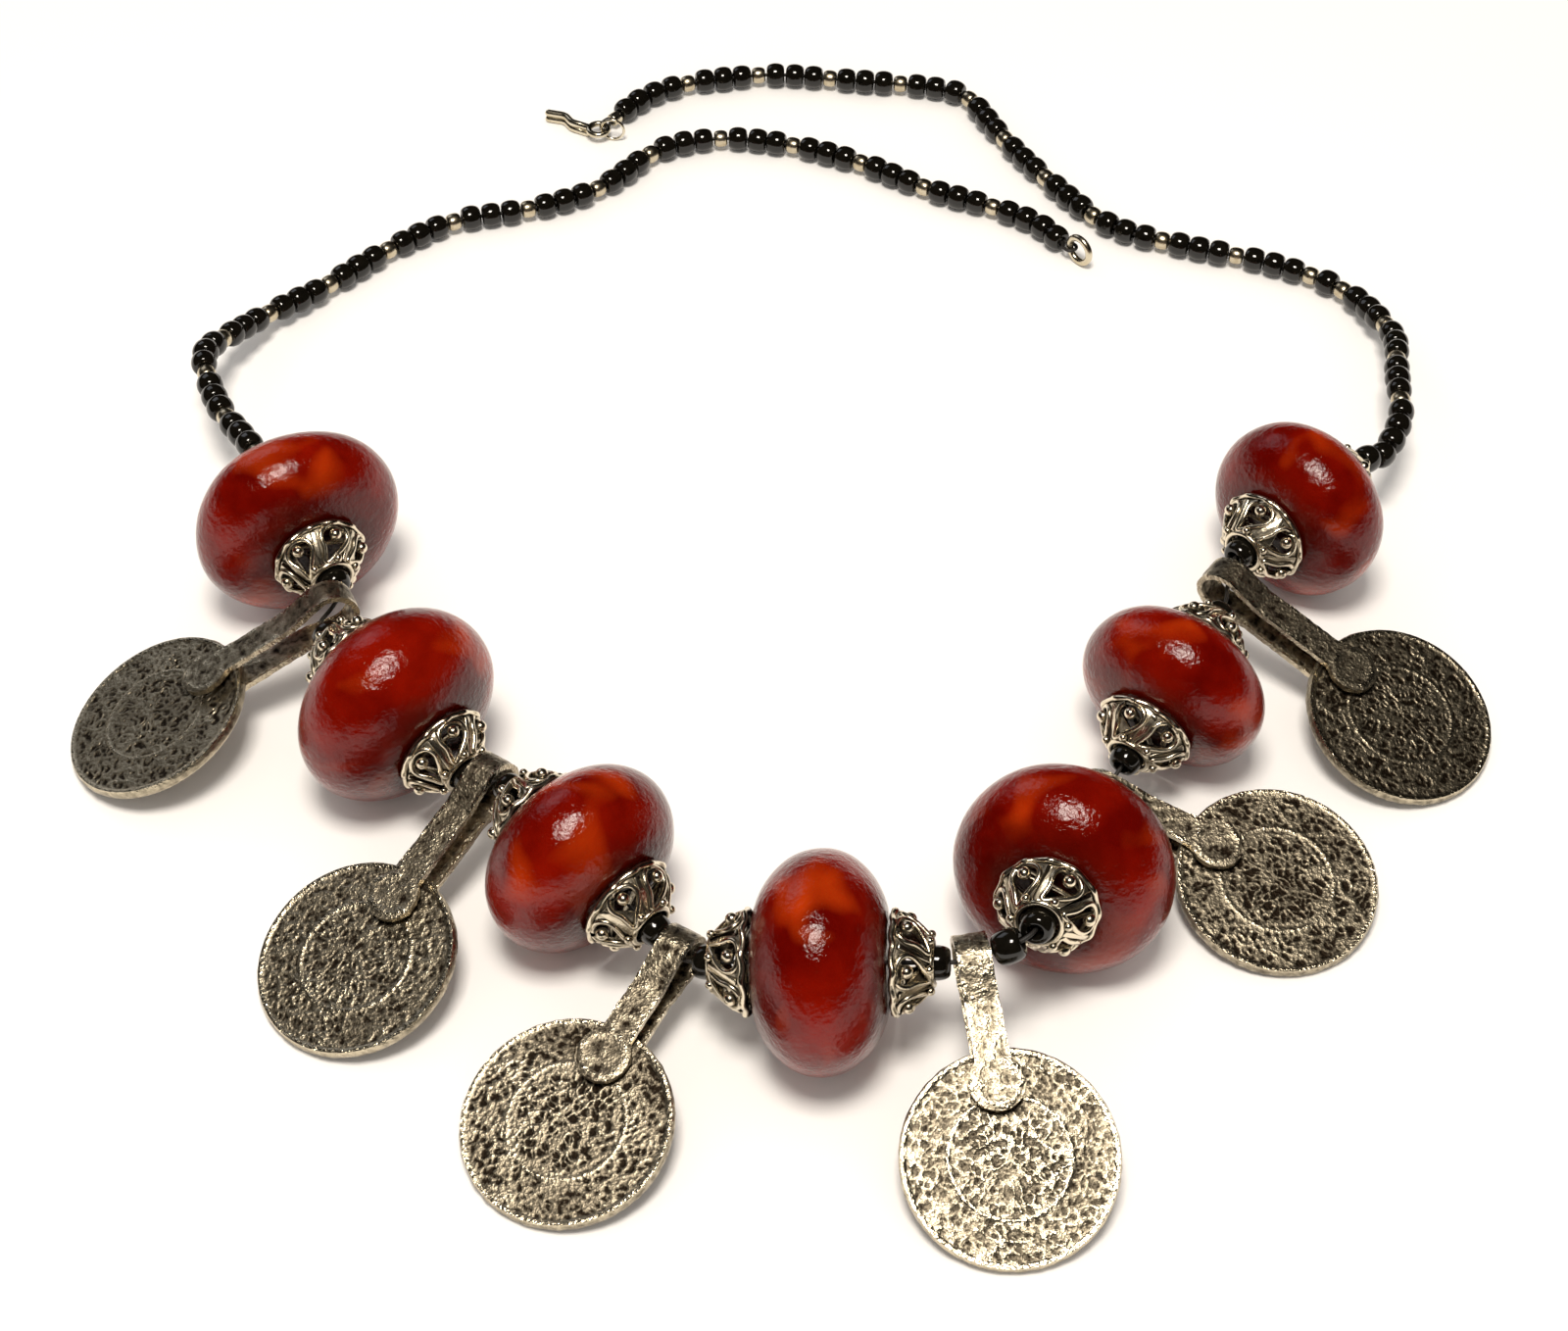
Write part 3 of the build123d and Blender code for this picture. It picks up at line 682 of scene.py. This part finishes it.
def strap_point(share, side_share, length, half_width):
    """Point on the outer face of the folded strip, by its shares of the strip's length and width."""
    straight = length + tongue - strap_neck
    run = (share - 0.5) * 2 * (bend + slant + straight)
    side, run = math.copysign(1, run), abs(run)
    if run < bend:
        x, z = -strap_bend * math.cos(run / strap_bend), strap_bend * math.sin(run / strap_bend)
    elif run < bend + slant:
        part = (run - bend) / slant
        x = strap_bend * math.cos(meet) * (1 - part) + strap_neck * part
        z = strap_bend * math.sin(meet) * (1 - part) + leg_top * part
    else:
        x, z = strap_neck + run - bend - slant, leg_top
    if x > length:
        y = side_share * tongue * 0.97
        x = length + (x - length) / tongue * math.sqrt(tongue**2 - y**2)
    else:
        round_half = math.sqrt(max(0, tongue**2 - (x - length) ** 2))
        y = side_share * max(strap_half(x, length, half_width), 0.97 * round_half)
    return Vector((x, y, side * z))


print("strip of a strap", round(2 * (bend + slant - strap_neck + tongue), 1), "mm longer than its two legs")

# %% [markdown]
# Hammering left the straps uneven. The dents are pushed into the mesh along its normals, and a ring
# round the rivet and the worn edges are kept in the height attribute, where the finish finds them.

# %% The mesh of a strap
tongue_ring, tongue_ring_half, edge_half, flat_above = 2.9, 0.35, 0.45, 1.6
# Columns: size in millimetres, height, what is added to the seed
hammer_dents = [(1.3, 0.5, 0), (0.6, 0.4, 3)]


def strap_bm(length, half_width, seed, painted_light):
    """A folded strap about its loop, hanging along X, with the coin's face up."""
    bm = bmesh.new()
    bmesh.ops.create_grid(bm, x_segments=150, y_segments=12, size=0.5)
    for vert in bm.verts:
        vert.co = strap_point(vert.co.x + 0.5, vert.co.y * 2, length, half_width) * MM
    bmesh.ops.recalc_face_normals(bm, faces=bm.faces)
    bmesh.ops.solidify(bm, geom=bm.faces[:], thickness=strap_metal * MM)
    bmesh.ops.recalc_face_normals(bm, faces=bm.faces)
    layer = bm.verts.layers.float.new("relief")
    bm.normal_update()
    for vert in bm.verts:
        x, y, z = (value / MM for value in vert.co)
        out = math.hypot(x - length, y)
        dents = sum(height * rough(vert.co, size, seed + more) for size, height, more in hammer_dents)
        ring = ridge(out - tongue_ring, tongue_ring_half) if abs(z) > flat_above else 0
        off_edge = abs(y) - strap_half(x, length, half_width)
        worn_edge = ridge(off_edge, edge_half) if out > tongue else 0
        # Painted light: the strap's brightness is raised or lowered with its coin's
        vert[layer] = 0.35 + painted_light + dents + 0.4 * ring + 0.5 * worn_edge
        vert.co += vert.normal * (0.2 * dents + 0.14 * ring) * MM
    return bm


# %% [markdown]
# A coin is spun from a profile with many rings, then each point of its two faces is raised by the
# relief. Its edge is only roughened a little.


# %% The mesh of a coin
def coin_bm(starred, seed, painted_light):
    """A coin about its centre, faces along Z, with relief on both; more painted light makes it brighter."""
    rings = [(coin_radius - 0.25) * i / 70 for i in range(71)]
    face_z = coin_half - coin_depth
    profile = [(r, face_z) for r in rings] + [(coin_radius, face_z - 0.2), (coin_radius, 0.2 - face_z)]
    profile += [(r, -face_z) for r in reversed(rings[::2])]
    bm = spun(profile, 280)
    layer = bm.verts.layers.float.new("relief")
    for vert in bm.verts:
        x, y, z = vert.co / MM
        # The attribute keeps the height, plus painted light that brightens or darkens the whole coin
        if abs(z) > face_z - 0.1:
            height = coin_height(x, y, starred, seed + (z < 0) * 40)
            vert.co.z += math.copysign(height * coin_depth, z) * MM
            vert[layer] = height + painted_light
        else:
            vert[layer] = 0.5 + 0.4 * rough(vert.co, 0.8, seed) + painted_light
            vert.co += Vector((x, y, 0)).normalized() * rough(vert.co, 1.1, seed) * 0.1 * MM
    return bm


# %% [markdown]
# A rivet's head is hammered down round its shank, which leaves a groove and a raised lip. Each drop
# then finds its seat from its own solids: the rivet's middle, the coin's face and the way out from
# one to the other. The strap's length and width are read from its solid in the same frame.

# %% Coins, straps and rivets on their seats
head_radius, shank_radius, head_gap = 1.82, 1.1, 0.02
rivet_rise = leg_top + head_gap
head = [(0, 0.62), (0.4, 0.66), (0.62, 0.5), (0.86, 0.36), (1.1, 0.5), (1.36, 0.67), (1.66, 0.57)]
head += [(head_radius, 0.2), (head_radius, 0), (shank_radius, 0)]
rivet_profile = [(r, rivet_rise + z) for r, z in head]
rivet_profile += [(r, -z) for r, z in reversed(rivet_profile)]
rivet_template = keep_template(spun(rivet_profile, 40), "rivet_template")

# Painted light: how much brighter or darker each coin and its strap are painted, for how each catches the
# lamp
painted_light_by_drop = [0.0, 0.05, -0.05, 0.15, -0.1, -0.05]
starred_drops = (1, 3, 5)
for number, painted_light in enumerate(painted_light_by_drop, 1):
    coin_points, coin_middle, coin_axes = loose_solids(f"coin_{number}")[0]
    rivet_centre = loose_solids(f"rivet_{number}")[0][1]
    face = coin_axes[0] if coin_axes[0].z > 0 else -coin_axes[0]
    out = coin_middle - rivet_centre
    out = (out - face * out.dot(face)).normalized()
    seat = seat_matrix(rivet_centre, face, out)
    strap_points = loose_solids(f"strap_{number}")[0][0] - np.array(rivet_centre)
    reach = strap_points @ np.array(out) / MM
    length = -reach.min() - strap_bend
    half_width = np.abs(strap_points @ np.array(face.cross(out)) / MM)[reach < -length].max()
    bm = strap_bm(length, half_width, number * 11, painted_light)
    bmesh.ops.transform(bm, matrix=seat @ Matrix.Translation((-length * MM, 0, 0)), verts=bm.verts)
    finish_piece(bm, f"folded_strap_{number}", strap_material, "strap_metal", f"strap_{number}")
    bm = coin_bm(number in starred_drops, number * 5, painted_light)
    coin_reach = max(coin_points @ np.array(out)) - rivet_centre.dot(out) - coin_radius * MM
    bmesh.ops.transform(bm, matrix=seat @ Matrix.Translation((coin_reach, 0, 0)), verts=bm.verts)
    finish_piece(bm, f"old_coin_{number}", coin_material, "coin_silver", f"coin_{number}")
    bm = bmesh.new()
    add_copy(bm, rivet_template, seat)
    layer = bm.verts.layers.float.new("relief")
    for vert in bm.verts:
        vert[layer] = 0.5 + 0.4 * rough(vert.co, 0.8)
    finish_piece(bm, f"rivet_head_{number}", strap_material, "strap_metal", f"rivet_{number}")
    sizes = [round(value, 2) for value in (length, 2 * half_width, coin_reach / MM)]
    print("drop", number, "strap length and width, and rivet to coin's middle, in mm", sizes)

# %% [markdown]
# ## Hook, rings, crimp and thread
# The fittings are drawn wire, so smooth copies of their solids need only a wire finish. A copy is
# merged first, because the frame's mesh is loose triangles, and then shaded smooth.

# %% Wire and thread finishes
wire_material, tree, surface = new_material("silvered_brass_wire")
place = add_node(tree, "ShaderNodeTexCoord").outputs["Object"]
# Rubbed patches about 2 mm wide where the silvering is thin
rubbed = add_node(tree, "ShaderNodeTexNoise", {"Vector": place, "Scale": 500, "Detail": 3})
tone = add_mix(tree, rubbed.outputs["Fac"], "B8A77E", "F2ECDD")
tree.links.new(tone, surface.inputs["Base Color"])
add_bump(tree, surface, rubbed.outputs["Fac"], 0.3, 0.2)
surface.inputs["Metallic"].default_value = 1.0
surface.inputs["Roughness"].default_value = 0.25

thread_material, tree, surface = new_material("waxed_black_thread")
place = add_node(tree, "ShaderNodeTexCoord").outputs["Object"]
# Plies about a quarter of a millimetre apart
plies = add_node(tree, "ShaderNodeTexWave", {"Vector": place, "Scale": 1200, "Distortion": 2})
tone = add_mix(tree, plies.outputs["Fac"], "0C0B0A", "2B2723")
tree.links.new(tone, surface.inputs["Base Color"])
surface.inputs["Roughness"].default_value = 0.55
nodes["thread"].data.materials.clear()
nodes["thread"].data.materials.append(thread_material)
print("wire and thread finishes")

# %% [markdown]
# The thread keeps its own solid and only takes its finish. The four fittings are copied one by one.


# %% Smooth copies of the fittings
def smooth_copy(node_name, name, material, slot):
    """A merged, smooth copy of a CAD node with the same shape."""
    return finish_piece(merged_copy(node_name), name, material, slot, node_name, corner=50)


for node_name, name in (
    ("hook", "wire_hook"),
    ("end_ring", "wire_end_ring"),
    ("jump_ring", "wire_jump_ring"),
    ("crimp", "crimp_tube"),
):
    smooth_copy(node_name, name, wire_material, "fitting_wire" if node_name != "crimp" else "bead_metal")
print("four fittings")
